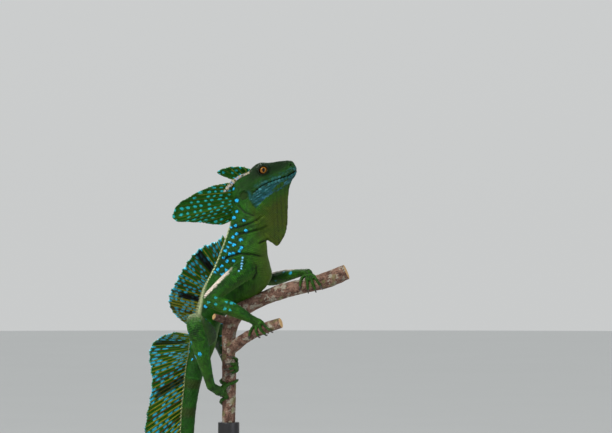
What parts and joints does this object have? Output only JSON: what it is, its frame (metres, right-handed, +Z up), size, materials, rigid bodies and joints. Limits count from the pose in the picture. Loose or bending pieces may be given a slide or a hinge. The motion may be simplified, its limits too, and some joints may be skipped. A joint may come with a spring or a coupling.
{
  "type": "green basilisk lizard model on a perch and display stand",
  "caption": "Life-size still model of a crested green basilisk gripping a short cut branch, head raised and tail hanging, held up by a plain rod on a flat base.",
  "frame": {"origin": "middle of the base plate's underside", "axes": "+Z up, +X the way the head points, -Y toward the side seen in the picture"},
  "size_m": [0.2, 0.15, 0.5301],
  "materials": {
    "skin": "scaly, satin, green with blue spots",
    "fin": "satin membrane with raised rays and blue dashes",
    "eye": "wet gloss, amber iris and dark pupil",
    "bark": "rough grey-brown bark",
    "stand": "satin black"
  },
  "bodies": {
    "root": {"back_sail": "fin", "crest_front": "fin", "crest_rear": "fin", "eye_left": "eye", "eye_right": "eye", "foot_left": "skin", "foot_right": "skin", "forearm_left": "skin", "forearm_right": "skin", "hand_left": "skin", "hand_right": "skin", "head": "skin", "neck": "skin", "perch": "bark", "shin_left": "skin", "shin_right": "skin", "stand_base": "stand", "stand_rod": "stand", "tail_1": "skin", "tail_2": "skin", "tail_3": "skin", "tail_4": "skin", "tail_sail": "fin", "thigh_left": "skin", "thigh_right": "skin", "throat_fan": "skin", "torso": "skin", "upper_arm_left": "skin", "upper_arm_right": "skin"}
  },
  "joints": []
}
